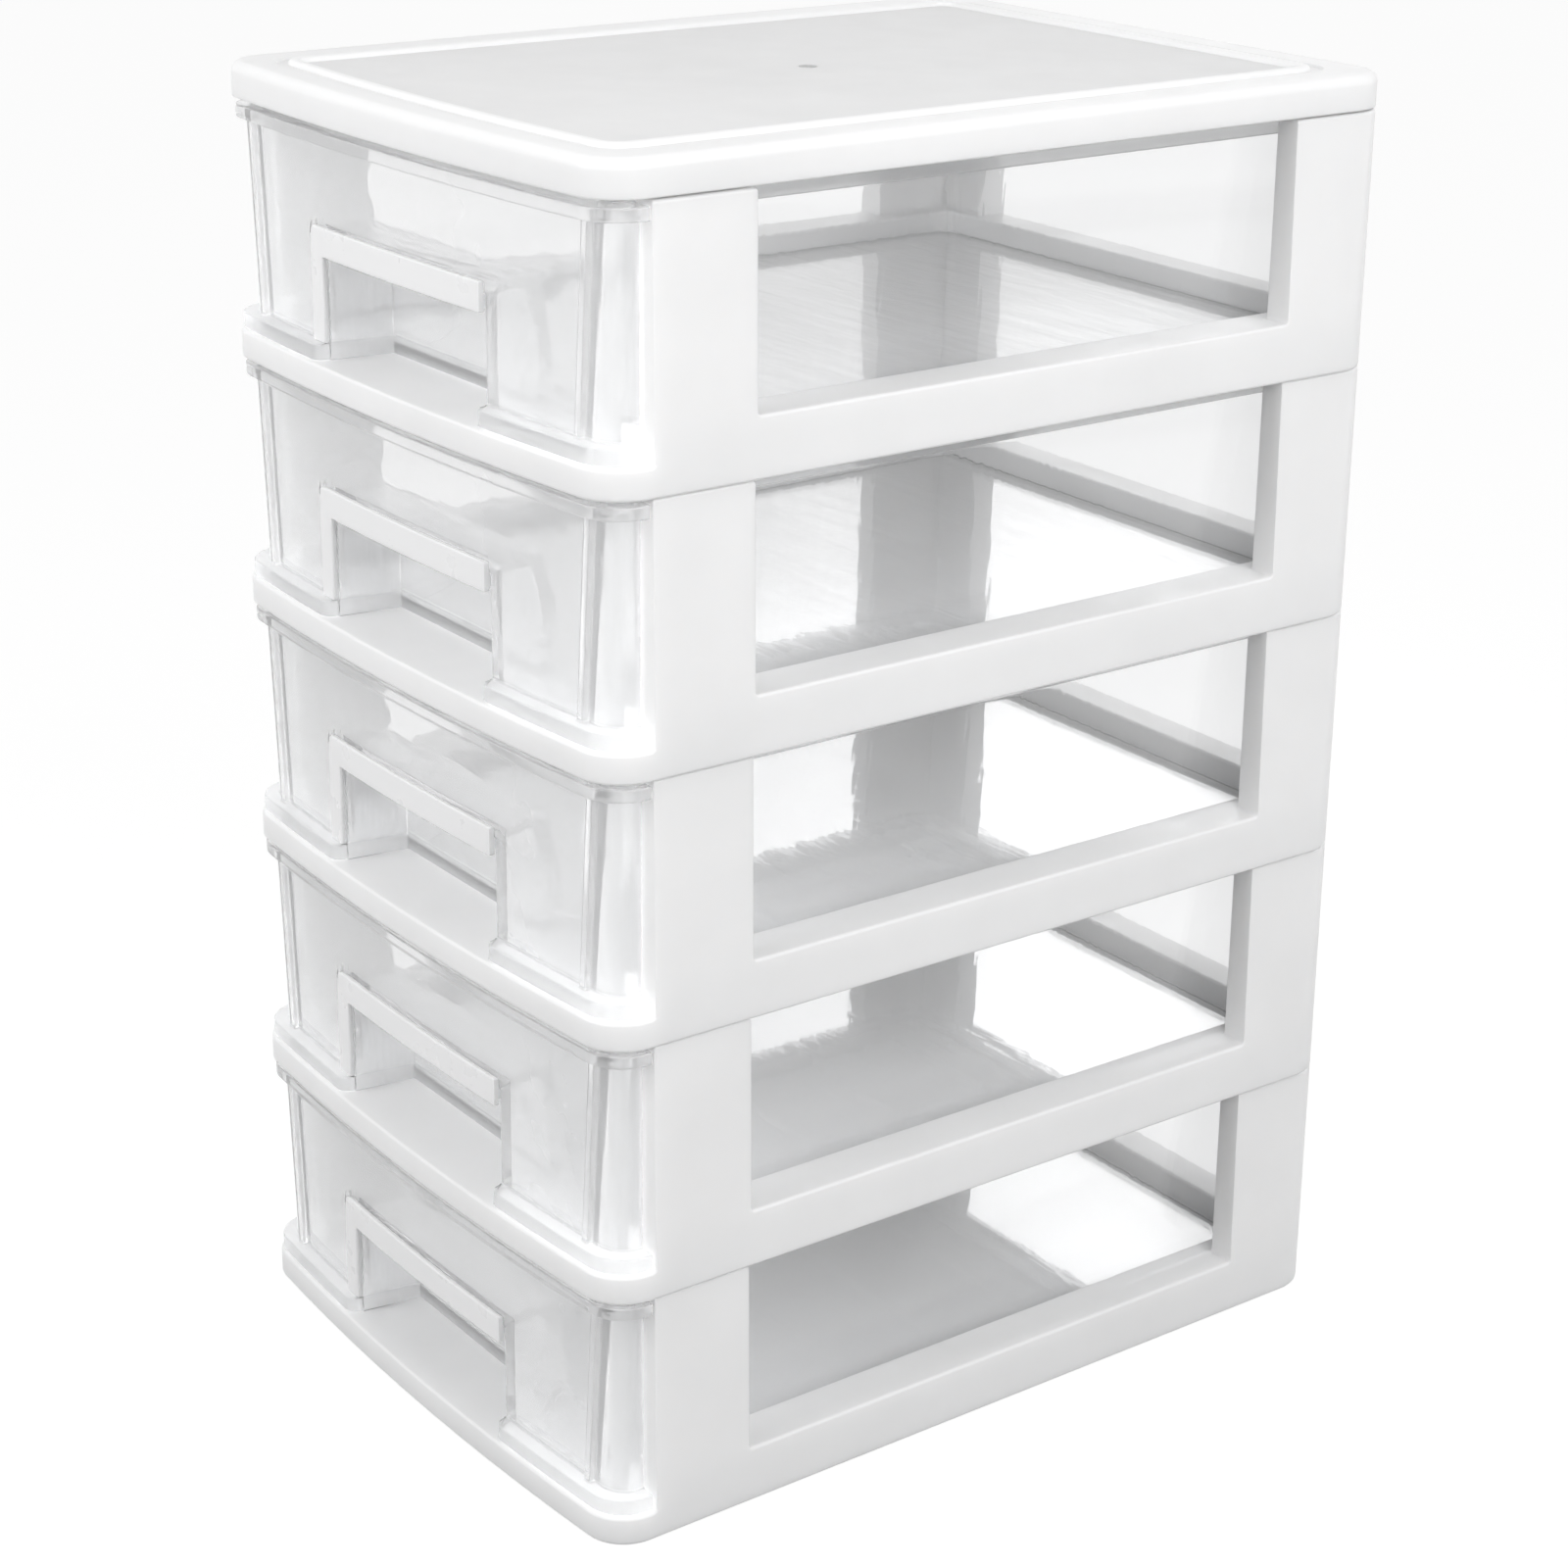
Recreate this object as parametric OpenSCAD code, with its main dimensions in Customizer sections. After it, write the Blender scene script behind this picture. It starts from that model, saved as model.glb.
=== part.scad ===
// Plastic drawer tower: a stack of equal open frames under one cover. Each frame carries a clear
// drawer that slides out to the front, with a white strap handle over its finger pocket.
// Millimetres. x runs across the width, the front faces -y, and z = 0 is the face it stands on.

/* [Tower] */
// Number of tiers in the stack
tiers = 5; // [2:1:8]
// Outside width, from side to side
tower_w = 130; // [116:1:200]
// Outside depth, from the crown of the bowed front to the back
tower_d = 177.2; // [140:0.1:260]
// Height of one tier, from the foot of one frame to the foot of the next
tier_h = 48.5; // [44:0.5:90]
// How far the front bows out between its two corners
front_bow = 3.1; // [1:0.1:6]
// Radius of the upright corners at the front
front_r = 8.4; // [8:0.1:12]
// Radius of the upright corners at the back
rear_r = 9.5; // [8:0.1:12]

/* [Frame] */
// Height of the front lip, which is also the level of the shelf
lip_h = 5.5; // [4.5:0.1:8]
// Thickness of the shelf
shelf_t = 2; // [1.2:0.1:2.5]
// Thickness of the skirt round the foot of a frame
skirt_t = 2.4; // [1.6:0.1:3]
// Height of the side and back rails above the foot
rail_h = 11.1; // [9:0.1:16]
// Width of a side rail
side_rail_w = 9.6; // [9:0.1:14]
// Width of the back rail
rear_rail_w = 7.6; // [7:0.1:14]
// Thickness of the pillars
pillar_t = 5.7; // [5.4:0.1:8]
// Distance from the crown of the front to the face of a front pillar
pillar_setback = 12.2; // [11:0.1:18]
// Depth of a front pillar, from its face to the side window
front_pillar_d = 20.4; // [14:0.1:40]
// Depth of a rear pillar, from the side window to the back
rear_pillar_d = 24.7; // [16:0.1:40]
// Width of a rear pillar along the back, from the side to the back window
rear_pillar_w = 18.5; // [14:0.1:35]
// How far the outer faces of a pillar lean in from the rail to the top
pillar_lean = 0.6; // [0:0.1:1.2]
// Height of the tongue on a pillar, which keys into the part above
tongue_h = 3; // [1.5:0.1:3]
// Thickness of a tongue
tongue_t = 2; // [1.2:0.1:2.4]
// Clearance between a tongue and the skirt that it stands in
tongue_gap = 0.3; // [0.2:0.05:0.6]
// Thickness of the ribs under a shelf
rib_t = 1.4; // [1:0.1:2]
// How far the ribs stand down from the shelf
rib_h = 1.2; // [0.6:0.1:1.8]
// Distance from rib to rib
rib_pitch = 24; // [16:1:40]

/* [Drawer] */
// Thickness of the upright walls
wall_t = 1.8; // [1.2:0.1:2.4]
// Thickness of the floor
floor_t = 1.8; // [1.2:0.1:3]
// Gap between the floor and the shelf
floor_gap = 0.3; // [0.2:0.05:0.8]
// Gap between the foot of a side wall and its rail
rail_gap = 0.9; // [0.4:0.05:1.5]
// Gap between the rim and the pillars
rim_gap = 1; // [0.5:0.05:1.5]
// Gap between the rim and the frame or cover above
top_gap = 0.9; // [0.5:0.1:4]
// Gap between the front and the pillars that it stops at
stop_gap = 0.4; // [0.3:0.05:1]
// Gap between the foot of the back wall and the back rail
rear_gap = 2; // [1:0.1:5]
// How much the back wall leans back from foot to rim
rear_lean = 1; // [0:0.1:1]
// Radius of the rear corners
box_r = 6; // [4:0.5:12]
// How far the rim stands out from the box
rim_out = 0.8; // [0.4:0.1:1.2]
// Height of the rim
rim_h = 2.4; // [1.5:0.1:4]
// How far the front panel lies inside the outline of the tower
panel_inset = 3.4; // [2.6:0.1:4.2]
// Thickness of the front panel
panel_t = 2.2; // [1.6:0.1:2.6]
// How far the rim and the foot of the front lie inside the outline of the tower
flange_inset = 0.5; // [0.3:0.1:1]
// Height of the foot of the front
foot_h = 3; // [2.5:0.1:6]

/* [Finger pocket] */
// Width of the pocket at its mouth
pocket_w = 54; // [40:1:64]
// How much each side of the pocket closes in towards its back
pocket_taper = 2; // [0:0.1:4]
// Depth of the pocket behind the front panel's face
pocket_d = 12.5; // [8:0.1:20]
// Height of the pocket's roof above the drawer's underside
pocket_h = 24.2; // [20:0.1:30]
// Height above the drawer's underside where the pocket's back starts to lean forward
pocket_knee_h = 13.2; // [10:0.1:16]
// How far the pocket's back leans forward at the roof
pocket_lean = 2.6; // [0:0.1:4]
// Radius of the foot's corners at the mouth of the pocket
mouth_r = 2.5; // [1:0.1:2.8]

/* [Handle] */
// Height of the handle's bar
bar_h = 5.4; // [4:0.1:8]
// Width of the handle's leg
leg_w = 4.5; // [3:0.1:6]
// Radius of the handle's outer corner
bar_r = 1.6; // [0.5:0.1:2.5]
// Thickness of the strap in front of the panel
strap_t = 1.1; // [0.9:0.1:1.9]
// Depth of the grip that reaches in under the pocket's roof
grip_d = 4.5; // [3:0.1:6]
// Clearance between the handle and the drawer
handle_gap = 0.1; // [0.1:0.05:0.3]

/* [Cover] */
// Height of the cover's upright edge
cover_edge_h = 6.6; // [5.5:0.1:12]
// Gap between the pillars of the top frame and the cover's edge
cover_gap = 0.4; // [0.2:0.05:1]
// Thickness of the cover's plate
cover_t = 2; // [1.5:0.1:2.5]
// Radius of the cover's top edge
cover_r = 2; // [0.5:0.1:2.5]
// Distance from the cover's sides and back to its bead
bead_inset = 10; // [9:0.1:20]
// Distance from the cover's front to its bead
bead_front = 8.4; // [8:0.1:20]
// Radius of the bead's corners
bead_corner_r = 5; // [4:0.5:12]
// Width of the bead
bead_w = 2.4; // [1.5:0.1:3]
// How far the bead stands up from the cover
bead_h = 0.5; // [0.2:0.1:0.8]
// Width of the groove outside the bead
groove_w = 2.2; // [1:0.1:3]
// Depth of the groove, and of the panel inside the bead
groove_h = 0.5; // [0.2:0.1:0.8]

/* [Hidden] */
corner_fn = 32;
arc_fn = 96;
bow_fn = 720;
bow_steps = 16;      // flats along the bead's bowed front
corner_steps = 8;    // flats round each corner of the bead
edge_steps = 4;      // flats that round the top edge of the cover
slice = 0.01;        // thickness of the slices that a hull joins
cut = 1;             // how far a cutting shape reaches past what it cuts
half_w = tower_w / 2;
front_y = -tower_d / 2;
rear_y = tower_d / 2;
bow_r = half_w * half_w / (2 * front_bow) + front_bow / 2;
pillar_y = front_y + pillar_setback;
window_front_y = pillar_y + front_pillar_d;
window_rear_y = rear_y - rear_pillar_d;
hollow_h = lip_h - shelf_t;
floor_z = lip_h + floor_gap;
rim_z = tier_h - top_gap;
panel_y = front_y + panel_inset;
stop_y = pillar_y - stop_gap;
box_rim_hw = half_w - pillar_t - rim_gap;
box_top_hw = box_rim_hw - rim_out;
box_foot_hw = half_w - side_rail_w - rail_gap;
box_foot_y = rear_y - rear_rail_w - rear_gap;
box_top_y = box_foot_y + rear_lean;
pocket_y = panel_y + pocket_d;
pocket_roof_z = floor_z + pocket_h;
pocket_knee_z = floor_z + pocket_knee_h;
bar_z = pocket_roof_z - bar_h;

// Where the centre of a front corner of radius r lies, for a front with its crown at y0
function corner_y(hw, y0, arc, r) = y0 + arc - sqrt(pow(arc - r, 2) - pow(hw - r, 2));

// Half the angle that the bowed front takes up between its corners
function bow_angle(hw, arc, r) = asin((hw - r) / (arc - r));

// Plan with a bowed front: half width hw, from crown y0 to back y1, with corner radii rf and rr
module plan(hw, y0, y1, arc, rf, rr, fn = arc_fn) {
    yf = corner_y(hw, y0, arc, rf);
    turn = bow_angle(hw, arc, rf);
    reach = 1.2 * arc;
    far_x = reach * sin(turn);
    far_y = y0 + arc - reach * cos(turn);
    intersection() {
        translate([0, y0 + arc]) circle(arc, $fn = bow_fn);
        polygon([[rf - hw, yf], [-far_x, far_y], [far_x, far_y], [hw - rf, yf]]);
    }
    translate([-hw, yf]) square([2 * hw, y1 - rr - yf]);
    translate([rr - hw, y1 - rr - cut]) square([2 * (hw - rr), rr + cut]);
    for (side = [-1, 1]) {
        translate([side * (hw - rf), yf]) circle(rf, $fn = fn);
        translate([side * (hw - rr), y1 - rr]) circle(rr, $fn = fn);
    }
}

// The tower's own plan, drawn in by inset on every side
module tower_plan(inset = 0, fn = arc_fn) {
    plan(half_w - inset, front_y + inset, rear_y - inset, bow_r - inset, front_r - inset,
         rear_r - inset, fn);
}

// A rectangle given by its two corners
module span(x0, y0, x1, y1) {
    translate([x0, y0]) square([x1 - x0, y1 - y0]);
}

// A block given by its two corners
module block(low, high) {
    translate(low) cube(high - low);
}

// ---------------------------------------------------------------- frame

// The space that the drawer needs above the shelf, between the rails
module rail_opening() {
    span(side_rail_w - half_w, front_y - cut, half_w - side_rail_w, rear_y - rear_rail_w);
    span(-half_w - cut, front_y - cut, half_w + cut, pillar_y);
}

// Where the pillars stand: everything but the drawer's space and the windows
module pillar_plan() {
    difference() {
        tower_plan();
        span(pillar_t - half_w, front_y - cut, half_w - pillar_t, rear_y - pillar_t);
        span(-half_w - cut, front_y - cut, half_w + cut, pillar_y);
        span(-half_w - cut, window_front_y, half_w + cut, window_rear_y);
        span(rear_pillar_w - half_w, 0, half_w - rear_pillar_w, rear_y + cut);
    }
}

// The space inside the outer faces, which are upright up to the rail and then lean in to the top
module leaning_block() {
    intersection() {
        rotate([90, 0, 0]) linear_extrude(2 * tower_d, center = true)
            polygon([[-half_w, 0], [half_w, 0], [half_w, rail_h], [half_w - pillar_lean, tier_h],
                     [pillar_lean - half_w, tier_h], [-half_w, rail_h]]);
        rotate([90, 0, 90]) linear_extrude(2 * tower_w, center = true)
            polygon([[front_y, 0], [rear_y, 0], [rear_y, rail_h], [rear_y - pillar_lean, tier_h],
                     [front_y, tier_h]]);
    }
}

// The keys on top of the pillars, which stand inside the skirt of the part above
module tongues() {
    outer = skirt_t + tongue_gap;
    inner = outer + tongue_t;
    translate([0, 0, tier_h - cut]) linear_extrude(tongue_h + cut) intersection() {
        difference() {
            tower_plan(outer);
            tower_plan(inner);
        }
        for (side = [0, 1]) mirror([side, 0]) {
            span(half_w - inner - cut, pillar_y + tongue_t, half_w, window_front_y - tongue_t);
            span(half_w - inner - cut, window_rear_y + tongue_t, half_w, rear_y);
            span(half_w - rear_pillar_w + tongue_t, rear_y - inner - cut, half_w, rear_y);
        }
    }
}

// Ribs that stiffen the shelf from below, spaced out from the middle
module ribs() {
    rib_hw = half_w - side_rail_w + shelf_t / 2;
    rib_y = rear_y - rear_rail_w + shelf_t / 2;
    across = floor(rib_y / rib_pitch);
    along = floor(rib_hw / rib_pitch);
    translate([0, 0, hollow_h - rib_h]) linear_extrude(rib_h + shelf_t / 2) intersection() {
        union() {
            for (i = [-across:across])
                span(-rib_hw, i * rib_pitch - rib_t / 2, rib_hw, i * rib_pitch + rib_t / 2);
            for (i = [-along:along])
                span(i * rib_pitch - rib_t / 2, front_y, i * rib_pitch + rib_t / 2, rib_y);
        }
        tower_plan(skirt_t / 2);
    }
}

// The open underside, below the shelf and up inside the rails
module underside() {
    translate([0, 0, -cut]) linear_extrude(hollow_h + cut) tower_plan(skirt_t);
    translate([0, 0, -cut]) linear_extrude(rail_h - shelf_t + cut) difference() {
        tower_plan(skirt_t);
        span(side_rail_w - half_w - shelf_t, front_y - cut, half_w - side_rail_w + shelf_t,
             rear_y - rear_rail_w + shelf_t);
        span(-half_w, front_y - cut, half_w, pillar_y + shelf_t);
    }
}

module frame(tier) {
    color("white") translate([0, 0, (tier - 1) * tier_h]) {
        difference() {
            union() {
                linear_extrude(lip_h) tower_plan();
                linear_extrude(rail_h) difference() {
                    tower_plan();
                    rail_opening();
                }
            }
            underside();
        }
        intersection() {
            translate([0, 0, rail_h - shelf_t / 2]) linear_extrude(tier_h) pillar_plan();
            leaning_block();
        }
        tongues();
        ribs();
    }
}

// ---------------------------------------------------------------- drawer

// The plan of the drawer's box: from the front panel back to y1, with round rear corners
module box_plan(hw, y1, r, fn = arc_fn) {
    span(-hw, panel_y + panel_t / 2, hw, y1 - r);
    span(r - hw, y1 - r - cut, hw - r, y1);
    for (side = [-1, 1]) translate([side * (hw - r), y1 - r]) circle(r, $fn = fn);
}

// The drawer's drafted box, drawn in by inset, from one height to another
module box_body(inset, z0, z1) {
    hull() {
        translate([0, 0, z0]) linear_extrude(slice)
            box_plan(box_foot_hw - inset, box_foot_y - inset, box_r - inset, corner_fn);
        translate([0, 0, z1 - slice]) linear_extrude(slice)
            box_plan(box_top_hw - inset, box_top_y - inset, box_r - inset, corner_fn);
    }
}

// The front's plan, drawn in from the tower's outline, as far back as the pillars
module front_plan(inset) {
    intersection() {
        tower_plan(inset);
        span(-half_w, front_y, half_w, stop_y);
    }
}

// What rounds the foot's two corners at the mouth of the pocket
module mouth_corners() {
    mouth = pocket_w / 2;
    arc = bow_r - flange_inset;
    foot_y = front_y + flange_inset + arc - sqrt(pow(arc, 2) - pow(mouth + mouth_r, 2));
    for (side = [0, 1]) mirror([side, 0]) difference() {
        span(mouth - cut, foot_y - cut, mouth + mouth_r, foot_y + mouth_r);
        translate([mouth + mouth_r, foot_y + mouth_r]) circle(mouth_r, $fn = corner_fn);
    }
}

// The front panel, which wraps round to the pillars, with its foot and the front of the rim
module front_panel() {
    difference() {
        union() {
            translate([0, 0, floor_z]) linear_extrude(rim_z - floor_z) front_plan(panel_inset);
            translate([0, 0, floor_z]) linear_extrude(foot_h) difference() {
                front_plan(flange_inset);
                mouth_corners();
            }
            translate([0, 0, rim_z - rim_h]) linear_extrude(rim_h) front_plan(flange_inset);
        }
        translate([0, 0, floor_z - cut]) linear_extrude(rim_z - floor_z + 2 * cut)
            tower_plan(panel_inset + panel_t);
    }
}

// Side view of the pocket, grown by grow towards the inside of the drawer
module pocket_profile(grow) {
    back = pocket_y + grow;
    polygon([[front_y - cut, floor_z - (grow > 0 ? 0 : cut)], [back, floor_z - (grow > 0 ? 0 : cut)],
             [back, pocket_knee_z], [back - pocket_lean, pocket_roof_z - panel_t + grow],
             [front_y - cut, pocket_roof_z - panel_t + grow]]);
}

// The pocket's body, grown by grow: narrower at the back, with a leaning back wall
module pocket(grow) {
    mouth = pocket_w / 2 + grow;
    back = mouth - pocket_taper;
    intersection() {
        rotate([90, 0, 90]) linear_extrude(tower_w, center = true) pocket_profile(grow);
        linear_extrude(tier_h) polygon([[-mouth, front_y - cut], [mouth, front_y - cut], [mouth, panel_y],
            [back, pocket_y + grow], [-back, pocket_y + grow], [-mouth, panel_y]]);
    }
}

module drawer(tier) {
    color("lightcyan") translate([0, 0, (tier - 1) * tier_h]) difference() {
        union() {
            difference() {
                union() {
                    box_body(0, floor_z, rim_z);
                    // the rim round the box
                    translate([0, 0, rim_z - rim_h]) linear_extrude(rim_h)
                        box_plan(box_rim_hw, box_top_y + rim_out, box_r + rim_out);
                }
                box_body(wall_t, floor_z + floor_t, rim_z + cut);
            }
            front_panel();
            intersection() {
                pocket(panel_t);
                translate([0, 0, floor_z]) linear_extrude(tier_h) tower_plan(panel_inset);
            }
        }
        pocket(0);
    }
}

// ---------------------------------------------------------------- handle

// Front view of the strap: a bar over the pocket and one leg down to the foot of the front
module strap_face() {
    foot_top = floor_z + foot_h + handle_gap;
    mouth = pocket_w / 2;
    difference() {
        span(-mouth - leg_w, foot_top, mouth - handle_gap, pocket_roof_z);
        span(-mouth, foot_top - cut, mouth, bar_z);
        translate([-mouth - leg_w, pocket_roof_z - bar_r]) difference() {
            translate([-cut, 0]) square(bar_r + cut);
            translate([bar_r, 0]) circle(bar_r, $fn = corner_fn);
            translate([bar_r, -cut]) square(bar_r);
        }
    }
}

module handle(tier) {
    grip_hw = pocket_w / 2 - pocket_taper - handle_gap;
    color("whitesmoke") translate([0, 0, (tier - 1) * tier_h]) {
        intersection() {
            rotate([90, 0, 0]) linear_extrude(tower_d, center = true) strap_face();
            linear_extrude(tier_h) difference() {
                tower_plan(panel_inset - handle_gap - strap_t);
                tower_plan(panel_inset - handle_gap);
                span(-half_w, 0, half_w, rear_y);
            }
        }
        // the grip, which reaches in under the pocket's roof
        intersection() {
            block([-grip_hw, front_y, bar_z], [grip_hw, panel_y + grip_d,
                                              pocket_roof_z - panel_t - handle_gap]);
            linear_extrude(tier_h) tower_plan(panel_inset - handle_gap - strap_t / 2);
        }
    }
}

// ---------------------------------------------------------------- cover

// The cover's outer form: upright edges, rounded over at the top
module cover_form() {
    hull() {
        linear_extrude(cover_edge_h - cover_r) tower_plan(0, corner_fn);
        for (a = [90 / edge_steps:90 / edge_steps:90])
            translate([0, 0, cover_edge_h - cover_r * (1 - sin(a)) - slice])
                linear_extrude(slice) tower_plan(cover_r * (1 - cos(a)), corner_fn);
    }
}

// Points on an arc about centre c, from one angle to another, without the first one
function arc_points(c, r, from, to, steps) =
    [for (i = [1:steps]) c + r * [cos(from + (to - from) * i / steps), sin(from + (to - from) * i / steps)]];

// The bead's outline, drawn in by inset: a bowed front and four round corners
module bead_plan(inset) {
    hw = half_w - bead_inset - inset;
    y0 = front_y + bead_front + inset;
    y1 = rear_y - bead_inset - inset;
    arc = bow_r - bead_front - inset;
    r = bead_corner_r - inset;
    yf = corner_y(hw, y0, arc, r);
    turn = bow_angle(hw, arc, r);
    polygon(concat(
        arc_points([0, y0 + arc], arc, -90 - turn, turn - 90, bow_steps),
        arc_points([hw - r, yf], r, turn - 90, 0, corner_steps),
        [[hw, y1 - r]],
        arc_points([hw - r, y1 - r], r, 0, 90, corner_steps),
        [[r - hw, y1]],
        arc_points([r - hw, y1 - r], r, 90, 180, corner_steps),
        [[-hw, yf]],
        arc_points([r - hw, yf], r, 180, 270 - turn, corner_steps)
    ));
}

module top_cover() {
    color("white") translate([0, 0, tiers * tier_h + cover_gap]) {
        difference() {
            cover_form();
            translate([0, 0, -cut]) linear_extrude(cover_edge_h - cover_t + cut) tower_plan(skirt_t);
            // one shallow recess holds the groove, the bead and the panel inside it
            translate([0, 0, cover_edge_h - groove_h]) linear_extrude(groove_h + cut)
                bead_plan(-groove_w);
        }
        translate([0, 0, cover_edge_h - cover_t / 2 - groove_h])
            linear_extrude(cover_t / 2 + groove_h + bead_h) difference() {
                bead_plan(0);
                bead_plan(bead_w);
            }
    }
}

top_cover();
for (k = [1:tiers]) frame(k);
for (k = [1:tiers]) drawer(k);
for (k = [1:tiers]) handle(k);
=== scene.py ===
"""Looks of the plastic drawer tower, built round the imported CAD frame.

Metres; x runs across the width, the front faces -y and z = 0 is the floor. The frames, drawers and handles
keep their CAD shapes and get softened edges; the cover is lofted anew, with its bead, groove and matte panel.
"""
import math

import bmesh
import bpy
from mathutils import Matrix, Vector


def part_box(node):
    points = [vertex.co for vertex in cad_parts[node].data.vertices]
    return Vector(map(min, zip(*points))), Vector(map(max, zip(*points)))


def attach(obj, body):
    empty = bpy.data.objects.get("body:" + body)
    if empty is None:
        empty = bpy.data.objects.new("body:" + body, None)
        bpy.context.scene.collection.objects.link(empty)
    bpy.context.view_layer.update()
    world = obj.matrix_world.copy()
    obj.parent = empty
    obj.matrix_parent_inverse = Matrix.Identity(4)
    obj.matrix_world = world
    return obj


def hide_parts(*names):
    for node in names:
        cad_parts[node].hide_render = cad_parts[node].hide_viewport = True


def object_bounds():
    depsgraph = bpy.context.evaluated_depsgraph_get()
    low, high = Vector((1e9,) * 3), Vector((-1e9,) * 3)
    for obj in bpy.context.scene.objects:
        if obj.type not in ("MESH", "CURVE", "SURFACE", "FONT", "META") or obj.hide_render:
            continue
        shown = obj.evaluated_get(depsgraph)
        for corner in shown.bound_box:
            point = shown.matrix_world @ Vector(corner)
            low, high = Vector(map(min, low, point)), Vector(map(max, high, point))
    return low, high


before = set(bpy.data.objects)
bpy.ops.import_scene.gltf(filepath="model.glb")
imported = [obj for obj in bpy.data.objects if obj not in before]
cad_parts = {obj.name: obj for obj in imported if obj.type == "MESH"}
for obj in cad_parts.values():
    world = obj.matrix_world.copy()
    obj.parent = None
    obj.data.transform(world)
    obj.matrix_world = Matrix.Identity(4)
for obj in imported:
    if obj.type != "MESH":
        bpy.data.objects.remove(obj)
CAD_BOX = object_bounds()

MM = 0.001

# Camera: the principal point is 120 pixels above the middle of the 1600-pixel image
IMAGE = 1600
FOCAL_PX = 3356.1
PRINCIPAL_Y_PX = 680
SENSOR = 36.0
CAMERA_AT = Vector((0.4876, -0.3615, 0.3397))
CAMERA_AZIMUTH = math.radians(53.63)
CAMERA_ELEVATION = math.radians(18.831)
CAMERA_ROLL = math.radians(0.654)
CAMERA_CLIP = (0.01, 20)

# Floor and world; as a light, the world fades from the horizon's strength to the zenith's
FLOOR_REACH = 6
FLOOR_DROP = 0.1 * MM
FLOOR_TONE = (0.35, 0.35, 0.35)
FLOOR_GLOW = 0.75
HORIZON_LIGHT = 1.0
ZENITH_LIGHT = 0.42
WHITE = (1, 1, 1, 1)

# Lamps: name, place, point aimed at, side of the square, power and the beam's angle in degrees
LAMPS = [("key", (0.45, 0.0, 0.42), (0, 0, 0.18), 0.4, 1.32, 180),
         ("fill", (-0.05, -0.46, 0.4), (0, 0, 0.18), 0.35, 1.0, 180),
         ("rear", (-0.42, 0.42, 0.31), (0, 0, 0), 0.3, 0.033, 32)]

# The tower, as in the CAD
TIERS = sum(name.startswith("frame_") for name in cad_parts)
TIER_H = 48.5 * MM
HALF_W = CAD_BOX[1].x
FRONT_Y = CAD_BOX[0].y
REAR_Y = CAD_BOX[1].y
FRONT_BOW = 3.1 * MM
BOW_RADIUS = HALF_W ** 2 / (2 * FRONT_BOW) + FRONT_BOW / 2
FRONT_R = 8.4 * MM
REAR_R = 9.5 * MM

# The cover
COVER_TOP = CAD_BOX[1].z
COVER_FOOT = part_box("top_cover")[0].z
SKIRT_T = 2.4 * MM
PLATE_T = 2.0 * MM
COVER_EDGE_R = 2.0 * MM
BEAD_INSET = 10.0 * MM
BEAD_FRONT = 8.4 * MM
BEAD_CORNER_R = 5.0 * MM
BEAD_W = 2.4 * MM
BEAD_H = 0.5 * MM
GROOVE_W = 2.2 * MM
GROOVE_H = 0.5 * MM
GROOVE_WALL_MM = [(-0.3, 0), (-0.1, 0.08), (0, 0.25), (0.1, 0.44), (0.3, 0.5)]  # across, down
BEAD_GAP = 0.15 * MM         # from the bead to the nearest ring of the flat on either side
BEAD_POWER = 0.75            # below 1 the bead's section is fuller than an ellipse
SKIRT_SOFT = 0.3 * MM        # rounding of the skirt's lower edge
ARC_MIDDLE = 0.3             # where a rounding's middle lies, in radii from the faces that it joins
GATE_Y = 1.5 * MM
GATE_PROFILE_MM = [(1.7, -0.3), (1.7, 0.02), (1.55, 0.1), (1.3, 0.12), (1.1, 0.05), (0.6, 0.03),
                   (0.45, 0.14), (0.2, 0.2)]

# Steps along the cover's curves
BOW_STEPS = 24
CORNER_STEPS = 12
EDGE_STEPS = 8
BEAD_STEPS = 12
GATE_STEPS = 32

# Rounding of the CAD pieces' edges
FRAME_EDGE = 0.6 * MM
DRAWER_EDGE = 0.3 * MM
HANDLE_EDGE = 0.35 * MM
EDGE_SEGMENTS = 3
SHARP_ANGLE = math.radians(28)
WELD_GAP = 0.002 * MM
LARGE_FACE_WEIGHT = 60

# All the plastics; the scales are noise features per metre
PLASTIC_IOR = 1.5
CLOUD_SCALE = 45
PATCH_SCALE = 120
WAVE_SCALE = 25
GRAIN_SCALE = 2600
GLOW_DEPTH = 4 * MM
GLOW_TINT = (1, 0.97, 0.94)

# The clear plastic: transmission, milkiness and waves, at the front and in the box behind it
FRONT_CLARITY = 0.84
BOX_CLARITY = 0.99
FRONT_HAZE = 0.13
FOOT_HAZE = 0.4
BOX_HAZE = 0.02
RIM_HAZE = 0.45
BOX_WAVES = 0.06             # against 1 at the front
FRONT_ENDS_Y = -70 * MM      # where the front and its finger pocket end
BOX_STARTS_Y = -64 * MM
FOOT_TOP = 8.8 * MM          # top of a drawer's foot, above its tier's base
RIM_BOTTOM = 45.2 * MM       # underside of a drawer's rim, above its tier's base
FOOT_FADE = 0.6 * MM         # heights over which the milkiness changes
RIM_FADE = 0.2 * MM
SMEAR_SCALE = 60
SMEAR_ROUGHNESS = (0.005, 0.025)
FLOW_SCALE = 45
FLOW_STRETCH = (1, 6, 1.3)
FLOW_DEPTH = 0.4 * MM
CLEAR_TINT = (0.993, 0.994, 0.996, 1)
HAZE_TINT = (0.92, 0.922, 0.926, 1)
SHADOW_TINT = (0.98, 0.982, 0.985, 1)

# Light bounces, enough to see through several clear walls
MAX_BOUNCES = 32
TRANSMISSION_BOUNCES = 24
TRANSPARENT_BOUNCES = 16


# ---------------------------------------------------------------- camera, floor and light

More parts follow.
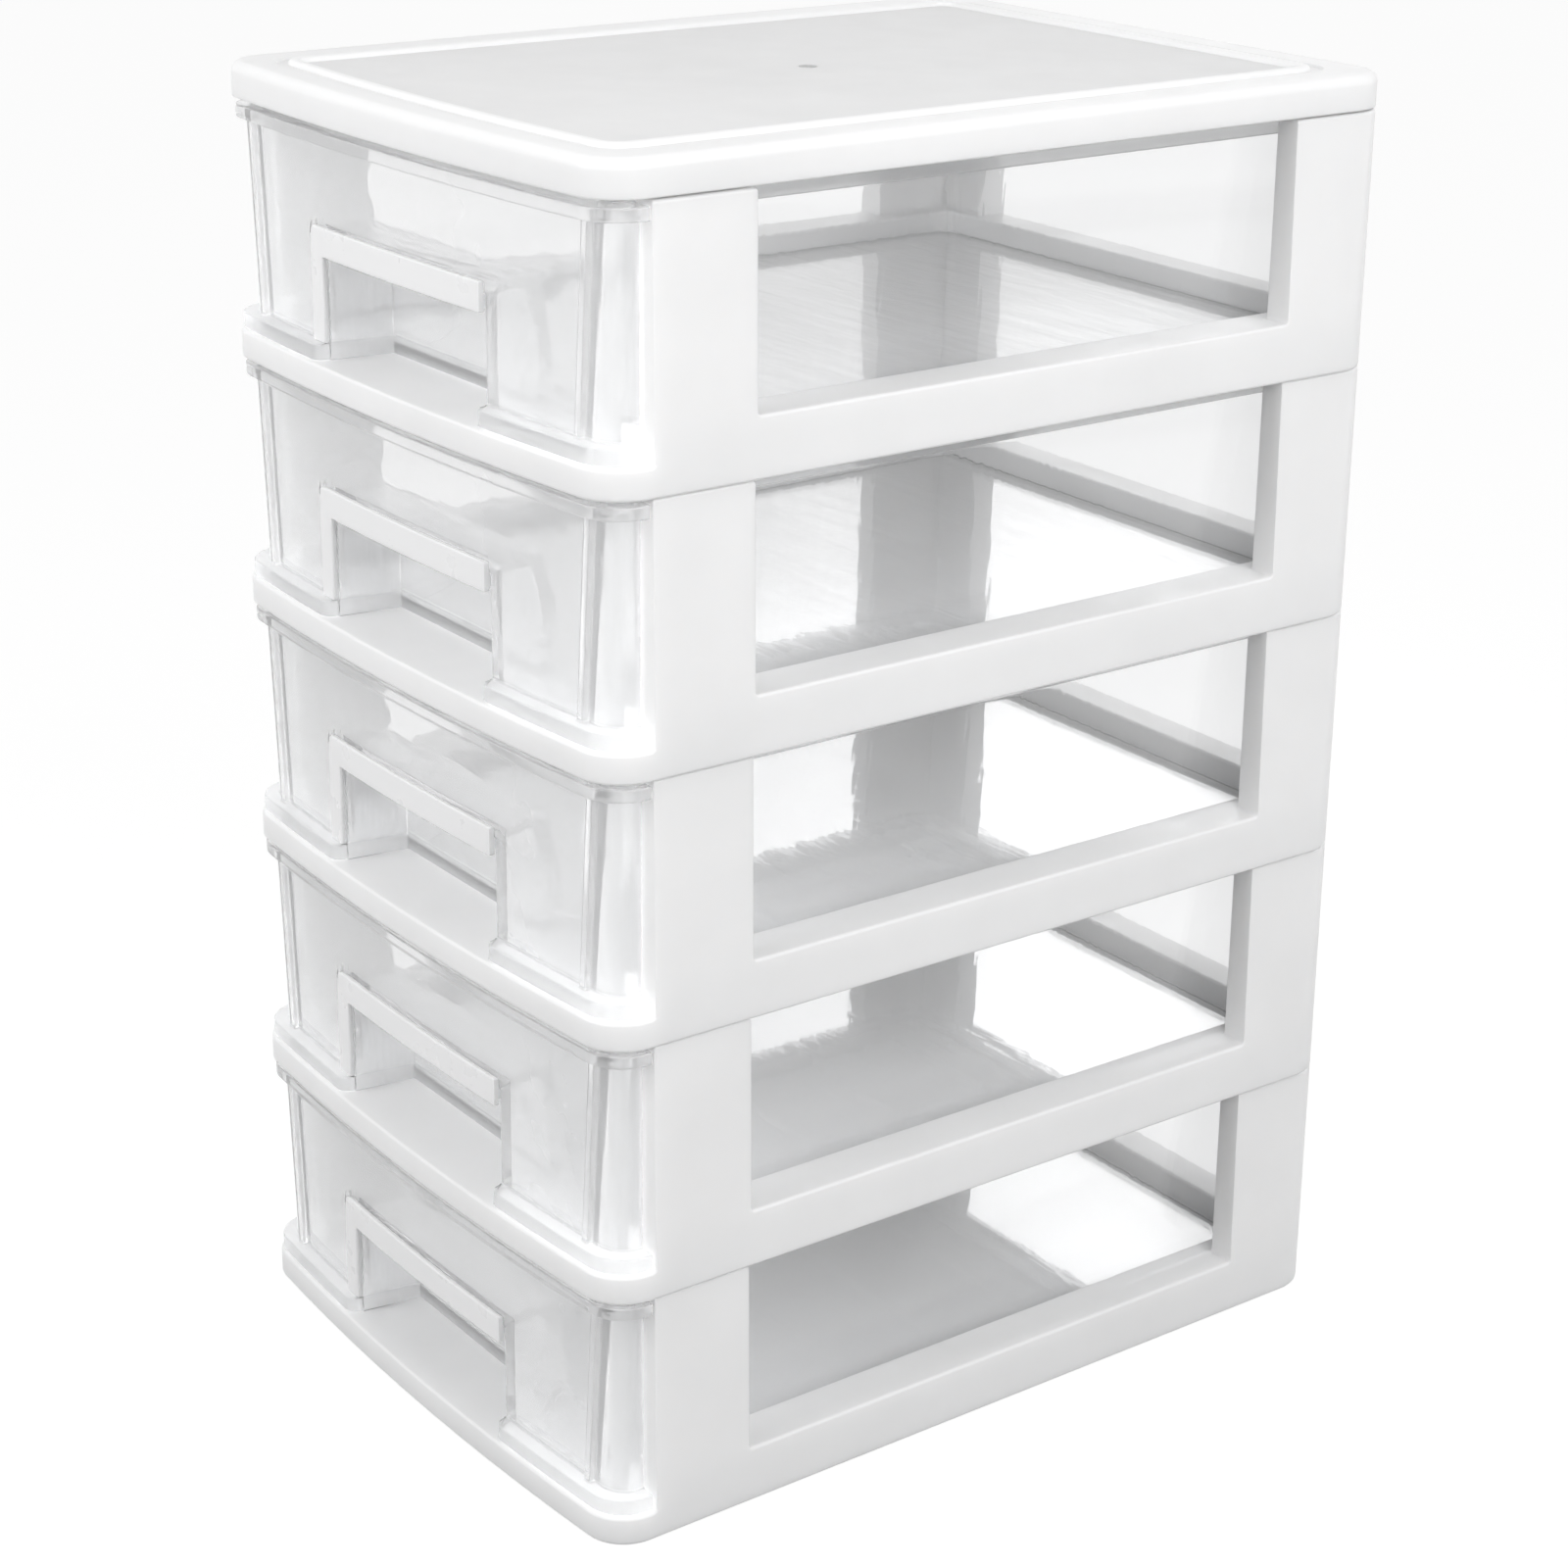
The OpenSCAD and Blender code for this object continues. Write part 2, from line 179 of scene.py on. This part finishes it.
def make_camera():
    """The photograph's view, from azimuth, elevation and roll."""
    az, el, roll = CAMERA_AZIMUTH, CAMERA_ELEVATION, CAMERA_ROLL
    ahead = Vector((-math.sin(az) * math.cos(el), math.cos(az) * math.cos(el), -math.sin(el)))
    right = Vector((math.cos(az), math.sin(az), 0))
    up = right.cross(ahead)
    x_axis = math.cos(roll) * right + math.sin(roll) * up
    y_axis = -math.sin(roll) * right + math.cos(roll) * up
    data = bpy.data.cameras.new("camera")
    data.sensor_width = SENSOR
    data.lens = FOCAL_PX / IMAGE * SENSOR
    data.shift_y = (PRINCIPAL_Y_PX - IMAGE / 2) / IMAGE
    data.clip_start, data.clip_end = CAMERA_CLIP
    camera = bpy.data.objects.new("camera", data)
    axes = Matrix((x_axis, y_axis, -ahead)).transposed()
    camera.matrix_world = Matrix.Translation(CAMERA_AT) @ axes.to_4x4()
    bpy.context.scene.collection.objects.link(camera)
    bpy.context.scene.camera = camera


def make_floor():
    """A plain white floor that keeps the tower's soft shadow."""
    bm = bmesh.new()
    bmesh.ops.create_grid(bm, x_segments=1, y_segments=1, size=FLOOR_REACH)
    mesh = bpy.data.meshes.new("floor")
    bm.to_mesh(mesh)
    bm.free()
    floor = bpy.data.objects.new("floor", mesh)
    floor.location.z = -FLOOR_DROP
    bpy.context.scene.collection.objects.link(floor)
    mesh.materials.append(floor_material())


def floor_material():
    """Grey under the lamps, and lifted to white for the rays that show it."""
    mat, nodes, links, out = new_material("floor_white")
    diffuse = nodes.new("ShaderNodeBsdfDiffuse")
    diffuse.inputs["Color"].default_value = (*FLOOR_TONE, 1)
    glow = nodes.new("ShaderNodeEmission")
    glow.inputs["Strength"].default_value = FLOOR_GLOW
    seen = nodes.new("ShaderNodeAddShader")
    links.new(diffuse.outputs[0], seen.inputs[0])
    links.new(glow.outputs[0], seen.inputs[1])
    mix_shaders(nodes, links, seen_rays(nodes, links), diffuse.outputs[0], seen.outputs[0],
                out.inputs["Surface"])
    return mat


def seen_rays(nodes, links):
    """1 for rays that show a thing to the camera, straight, mirrored or through clear plastic."""
    path = nodes.new("ShaderNodeLightPath")
    total = path.outputs["Is Camera Ray"]
    for name in ("Is Glossy Ray", "Is Transmission Ray"):
        total = calculate(nodes, links, "MAXIMUM", total, path.outputs[name])
    return total


def make_world():
    """White behind the tower, and a softer even light for its surfaces."""
    world = bpy.data.worlds.new("studio")
    bpy.context.scene.world = world
    world.use_nodes = True
    nodes, links = world.node_tree.nodes, world.node_tree.links
    nodes.clear()
    out = nodes.new("ShaderNodeOutputWorld")
    light = nodes.new("ShaderNodeBackground")
    light.inputs["Color"].default_value = WHITE
    way = nodes.new("ShaderNodeSeparateXYZ")
    links.new(nodes.new("ShaderNodeTexCoord").outputs["Generated"], way.inputs[0])
    level = remap(nodes, links, way.outputs["Z"], HORIZON_LIGHT, ZENITH_LIGHT, 0, 1)
    links.new(level, light.inputs["Strength"])
    white = nodes.new("ShaderNodeBackground")
    white.inputs["Color"].default_value = WHITE
    white.inputs["Strength"].default_value = 1
    mix_shaders(nodes, links, seen_rays(nodes, links), light.outputs[0], white.outputs[0],
                out.inputs["Surface"])


def make_lamp(name, at, aim, size, power, beam):
    """A square soft light, which the camera doesn't see."""
    data = bpy.data.lights.new(name, "AREA")
    data.spread = math.radians(beam)
    data.shape = "SQUARE"
    data.size = size
    data.energy = power
    lamp = bpy.data.objects.new(name, data)
    lamp.location = at
    lamp.rotation_euler = (Vector(aim) - Vector(at)).to_track_quat("-Z", "Y").to_euler()
    lamp.visible_camera = False
    bpy.context.scene.collection.objects.link(lamp)


# ---------------------------------------------------------------- materials

def new_material(name):
    """A material with nothing in it yet but its output."""
    mat = bpy.data.materials.new(name)
    mat.use_nodes = True
    nodes, links = mat.node_tree.nodes, mat.node_tree.links
    nodes.clear()
    return mat, nodes, links, nodes.new("ShaderNodeOutputMaterial")


def mix_shaders(nodes, links, factor, low, high, to):
    """Blends two shaders, low at factor 0 and high at 1, into a socket."""
    mix = nodes.new("ShaderNodeMixShader")
    links.new(factor, mix.inputs[0])
    links.new(low, mix.inputs[1])
    links.new(high, mix.inputs[2])
    links.new(mix.outputs[0], to)


def calculate(nodes, links, operation, first, second):
    """A Math node's result for two linked numbers."""
    node = nodes.new("ShaderNodeMath")
    node.operation = operation
    links.new(first, node.inputs[0])
    links.new(second, node.inputs[1])
    return node.outputs[0]


def noise(nodes, links, coords, scale, detail, stretch=None):
    """Noise over the surface; scale is in features per metre."""
    tex = nodes.new("ShaderNodeTexNoise")
    tex.inputs["Scale"].default_value = scale
    tex.inputs["Detail"].default_value = detail
    if stretch:
        mapping = nodes.new("ShaderNodeMapping")
        mapping.inputs["Scale"].default_value = stretch
        links.new(coords, mapping.inputs["Vector"])
        coords = mapping.outputs[0]
    links.new(coords, tex.inputs["Vector"])
    return tex.outputs["Fac"]


def remap(nodes, links, value, low, high, from_low=0.3, from_high=0.7):
    """Maps a value, by default a noise value, to the range from low to high."""
    ramp = nodes.new("ShaderNodeMapRange")
    ramp.inputs["From Min"].default_value = from_low
    ramp.inputs["From Max"].default_value = from_high
    ramp.inputs["To Min"].default_value = low
    ramp.inputs["To Max"].default_value = high
    links.new(value, ramp.inputs["Value"])
    return ramp.outputs["Result"]


def tint(nodes, links, value, dark, light):
    """Blends two colours by a value."""
    mix = nodes.new("ShaderNodeMix")
    mix.data_type = "RGBA"
    mix.inputs["A"].default_value = (*dark, 1)
    mix.inputs["B"].default_value = (*light, 1)
    links.new(value, mix.inputs["Factor"])
    return mix.outputs["Result"]


def bump(nodes, links, height, distance, below=None):
    """A bumped normal, on top of the one below."""
    node = nodes.new("ShaderNodeBump")
    node.inputs["Strength"].default_value = 1
    node.inputs["Distance"].default_value = distance
    links.new(height, node.inputs["Height"])
    if below:
        links.new(below, node.inputs["Normal"])
    return node.outputs["Normal"]


def white_plastic(name, dark, light, rough, grain=0.004 * MM, wave=0.02 * MM, glow=0.5):
    """Moulded white plastic: faint cloudiness, a satin sheen that varies, fine grain and slow waves."""
    mat, nodes, links, out = new_material(name)
    coords = nodes.new("ShaderNodeTexCoord").outputs["Object"]
    shader = nodes.new("ShaderNodeBsdfPrincipled")
    clouds = remap(nodes, links, noise(nodes, links, coords, CLOUD_SCALE, 3), 0, 1)
    links.new(tint(nodes, links, clouds, dark, light), shader.inputs["Base Color"])
    patches = remap(nodes, links, noise(nodes, links, coords, PATCH_SCALE, 4), *rough)
    links.new(patches, shader.inputs["Roughness"])
    shader.inputs["IOR"].default_value = PLASTIC_IOR
    shader.inputs["Subsurface Weight"].default_value = glow
    shader.inputs["Subsurface Radius"].default_value = GLOW_TINT
    shader.inputs["Subsurface Scale"].default_value = GLOW_DEPTH
    slow = bump(nodes, links, noise(nodes, links, coords, WAVE_SCALE, 1), wave)
    fine = bump(nodes, links, noise(nodes, links, coords, GRAIN_SCALE, 3), grain, slow)
    links.new(fine, shader.inputs["Normal"])
    links.new(shader.outputs[0], out.inputs["Surface"])
    return mat


def clear_plastic(name):
    """Clear moulded plastic: a milky, wavy front with a whiter foot, and a clearer box with a whiter rim."""
    mat, nodes, links, out = new_material(name)
    coords = nodes.new("ShaderNodeTexCoord").outputs["Object"]
    place = nodes.new("ShaderNodeSeparateXYZ")
    links.new(coords, place.inputs[0])
    above_base = nodes.new("ShaderNodeMath")
    above_base.operation = "MODULO"
    above_base.inputs[1].default_value = TIER_H
    links.new(place.outputs["Z"], above_base.inputs[0])

    def front_to_box(front, box):
        """A value at the drawer's front that turns into another one in the box behind it."""
        return remap(nodes, links, place.outputs["Y"], front, box, FRONT_ENDS_Y, BOX_STARTS_Y)

    def by_height(low, high, low_ends, high_starts):
        """A value that turns into another one further up the tier."""
        return remap(nodes, links, above_base.outputs[0], low, high, low_ends, high_starts)

    shader = nodes.new("ShaderNodeBsdfPrincipled")
    shader.inputs["Base Color"].default_value = CLEAR_TINT
    shader.inputs["IOR"].default_value = PLASTIC_IOR
    links.new(front_to_box(FRONT_CLARITY, BOX_CLARITY), shader.inputs["Transmission Weight"])
    smears = noise(nodes, links, coords, SMEAR_SCALE, 4)
    links.new(remap(nodes, links, smears, *SMEAR_ROUGHNESS), shader.inputs["Roughness"])
    flow = noise(nodes, links, coords, FLOW_SCALE, 2, FLOW_STRETCH)
    waves = calculate(nodes, links, "MULTIPLY", flow, front_to_box(1, BOX_WAVES))
    links.new(bump(nodes, links, waves, FLOW_DEPTH), shader.inputs["Normal"])
    haze = nodes.new("ShaderNodeBsdfTranslucent")
    haze.inputs["Color"].default_value = HAZE_TINT

    milkiness = front_to_box(FRONT_HAZE, BOX_HAZE)
    at_front = by_height(FOOT_HAZE, FRONT_HAZE, FOOT_TOP, FOOT_TOP + FOOT_FADE)
    in_box = by_height(BOX_HAZE, RIM_HAZE, RIM_BOTTOM - RIM_FADE, RIM_BOTTOM)
    links.new(at_front, milkiness.node.inputs["To Min"])
    links.new(in_box, milkiness.node.inputs["To Max"])

    through = nodes.new("ShaderNodeBsdfTransparent")
    through.inputs["Color"].default_value = SHADOW_TINT
    shown = nodes.new("ShaderNodeMixShader")
    shadow_rays = nodes.new("ShaderNodeLightPath").outputs["Is Shadow Ray"]
    mix_shaders(nodes, links, milkiness, shader.outputs[0], haze.outputs[0], shown.inputs[1])
    links.new(shadow_rays, shown.inputs[0])
    links.new(through.outputs[0], shown.inputs[2])
    links.new(shown.outputs[0], out.inputs["Surface"])
    return mat


# ---------------------------------------------------------------- lofting

def corner_y(hw, y0, arc, r):
    """Where the centre of a front corner of radius r lies, for a front with its crown at y0."""
    return y0 + arc - math.sqrt((arc - r) ** 2 - (hw - r) ** 2)


def arc_points(centre, r, start, end, steps):
    """Points on an arc, without its first one."""
    turns = [start + (end - start) * i / steps for i in range(1, steps + 1)]
    return [(centre[0] + r * math.cos(a), centre[1] + r * math.sin(a)) for a in turns]


def bowed_outline(hw, y0, y1, arc, rf, rr, inset):
    """Closed plan outline with a bowed front, drawn in by inset, always with the same number of points."""
    hw, y0, y1, arc, rf, rr = hw - inset, y0 + inset, y1 - inset, arc - inset, rf - inset, rr - inset
    yf = corner_y(hw, y0, arc, rf)
    turn = math.asin((hw - rf) / (arc - rf))
    quarter = math.pi / 2
    return (arc_points((0, y0 + arc), arc, -quarter - turn, turn - quarter, BOW_STEPS)
            + arc_points((hw - rf, yf), rf, turn - quarter, 0, CORNER_STEPS)
            + [(hw, y1 - rr)]
            + arc_points((hw - rr, y1 - rr), rr, 0, quarter, CORNER_STEPS)
            + [(rr - hw, y1)]
            + arc_points((rr - hw, y1 - rr), rr, quarter, 2 * quarter, CORNER_STEPS)
            + [(-hw, yf)]
            + arc_points((rf - hw, yf), rf, 2 * quarter, 3 * quarter - turn, CORNER_STEPS))


def loft(bm, rings):
    """Joins rings of points, each a list of (x, y, z), and closes both ends.

    Returns lists of faces: one for each pair of rings, and one with the face that closes the last ring.
    """
    verts = [[bm.verts.new(p) for p in ring] for ring in rings]
    count = len(verts[0])
    bands = []
    for low, high in zip(verts, verts[1:]):
        bands.append([bm.faces.new((low[i], low[(i + 1) % count], high[(i + 1) % count], high[i]))
                      for i in range(count)])
    bm.faces.new(list(reversed(verts[0])))
    bands.append([bm.faces.new(verts[-1])])
    return bands


def finish_piece(bm, name, materials, body):
    """Turns a bmesh into a piece of the object that rides on a body."""
    bmesh.ops.recalc_face_normals(bm, faces=bm.faces)
    mesh = bpy.data.meshes.new(name)
    bm.to_mesh(mesh)
    bm.free()
    mesh.polygons.foreach_set("use_smooth", [True] * len(mesh.polygons))
    for mat in materials:
        mesh.materials.append(mat)
    piece = bpy.data.objects.new(name, mesh)
    bpy.context.scene.collection.objects.link(piece)
    add_weighted_normals(piece)
    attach(piece, body)
    return piece


def add_weighted_normals(obj):
    """Shades large faces flat and leaves the turn to the small ones between them."""
    normals = obj.modifiers.new("even_shading", "WEIGHTED_NORMAL")
    normals.weight = LARGE_FACE_WEIGHT
    normals.keep_sharp = False


# ---------------------------------------------------------------- cover

def edge_ring(inset, z):
    """A ring round the cover's edge."""
    outline = bowed_outline(HALF_W, FRONT_Y, REAR_Y, BOW_RADIUS, FRONT_R, REAR_R, inset)
    return [(x, y, z) for x, y in outline]


def bead_ring(inset, z):
    """A ring along the bead, which has its own corners."""
    outline = bowed_outline(HALF_W - BEAD_INSET, FRONT_Y + BEAD_FRONT, REAR_Y - BEAD_INSET,
                            BOW_RADIUS - BEAD_FRONT, BEAD_CORNER_R, BEAD_CORNER_R, inset)
    return [(x, y, z) for x, y in outline]


def cover_rings():
    """The cover's skin, from inside its skirt, over the edge, the groove and the bead, to the panel."""
    ledge = COVER_TOP - BEAD_H
    floor = ledge - GROOVE_H
    middle = SKIRT_SOFT * ARC_MIDDLE
    rings = [edge_ring(SKIRT_T, ledge - PLATE_T),
             edge_ring(SKIRT_T, COVER_FOOT + SKIRT_SOFT),
             edge_ring(SKIRT_T - SKIRT_SOFT, COVER_FOOT),
             edge_ring(SKIRT_SOFT, COVER_FOOT),
             edge_ring(middle, COVER_FOOT + middle),
             edge_ring(0, COVER_FOOT + SKIRT_SOFT)]
    for i in range(EDGE_STEPS + 1):
        a = math.radians(90 * i / EDGE_STEPS)
        rings.append(edge_ring(COVER_EDGE_R * (1 - math.cos(a)),
                               ledge - COVER_EDGE_R * (1 - math.sin(a))))
    rings += [bead_ring(-GROOVE_W + across * MM, ledge - down * MM) for across, down in GROOVE_WALL_MM]
    rings.append(bead_ring(-BEAD_GAP, floor))
    half, rise = BEAD_W / 2, COVER_TOP - floor
    for i in range(BEAD_STEPS + 1):
        a = math.pi * i / BEAD_STEPS
        across = math.copysign(abs(math.cos(a)) ** BEAD_POWER, math.cos(a))
        rings.append(bead_ring(half - half * across, floor + rise * math.sin(a) ** BEAD_POWER))
    rings.append(bead_ring(BEAD_W + BEAD_GAP, floor))
    return rings


def make_cover(white, matte):
    """The cover, white with a matte panel, in place of the CAD's plain one."""
    bm = bmesh.new()
    panel = loft(bm, cover_rings())[-1]
    for face in panel + add_gate_mark(bm):
        face.material_index = 1
    cover = finish_piece(bm, "cover", [white, matte], "housing")
    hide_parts("top_cover")


def add_gate_mark(bm):
    """The small round mark in the middle of the panel, where the plastic was let into the mould."""
    panel = COVER_TOP - BEAD_H - GROOVE_H
    turns = [math.tau * i / GATE_STEPS for i in range(GATE_STEPS)]
    rings = [[(r * MM * math.cos(a), GATE_Y + r * MM * math.sin(a), panel + z * MM) for a in turns]
             for r, z in GATE_PROFILE_MM]
    return [face for band in loft(bm, rings) for face in band]


# ---------------------------------------------------------------- CAD pieces

def soften(obj, width):
    """Joins the CAD mesh's split faces and rounds its sharp edges a little."""
    weld = obj.modifiers.new("join", "WELD")
    weld.merge_threshold = WELD_GAP
    bevel = obj.modifiers.new("soft_edges", "BEVEL")
    bevel.width = width
    bevel.segments = EDGE_SEGMENTS
    bevel.limit_method = "ANGLE"
    bevel.angle_limit = SHARP_ANGLE
    bevel.use_clamp_overlap = False
    bevel.harden_normals = False
    bevel.miter_outer = "MITER_ARC"
    add_weighted_normals(obj)


def dress(name, mat, width):
    """Gives a CAD node its material and softened edges."""
    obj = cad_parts[name]
    obj.data.materials.clear()
    obj.data.materials.append(mat)
    soften(obj, width)


def make_object():
    """The tower: the lofted cover, and each tier's frame, drawer and handle."""
    white = white_plastic("white_plastic", (0.84, 0.84, 0.842), (0.87, 0.87, 0.872), (0.3, 0.42))
    matte = white_plastic("cover_panel_matte", (0.75, 0.75, 0.752), (0.78, 0.78, 0.782), (0.5, 0.62),
                          grain=0.02 * MM)
    strap = white_plastic("handle_plastic", (0.85, 0.85, 0.855), (0.865, 0.865, 0.87), (0.26, 0.34),
                          wave=0.005 * MM, glow=0.2)
    clear = clear_plastic("clear_plastic")
    make_cover(white, matte)
    for tier in range(1, TIERS + 1):
        dress(f"frame_{tier}", white, FRAME_EDGE)
        dress(f"drawer_{tier}", clear, DRAWER_EDGE)
        dress(f"handle_{tier}", strap, HANDLE_EDGE)


bpy.context.scene.view_settings.view_transform = "Standard"
bpy.context.scene.cycles.max_bounces = MAX_BOUNCES
bpy.context.scene.cycles.transmission_bounces = TRANSMISSION_BOUNCES
bpy.context.scene.cycles.transparent_max_bounces = TRANSPARENT_BOUNCES
make_camera()
make_world()
for lamp in LAMPS:
    make_lamp(*lamp)
make_floor()
make_object()
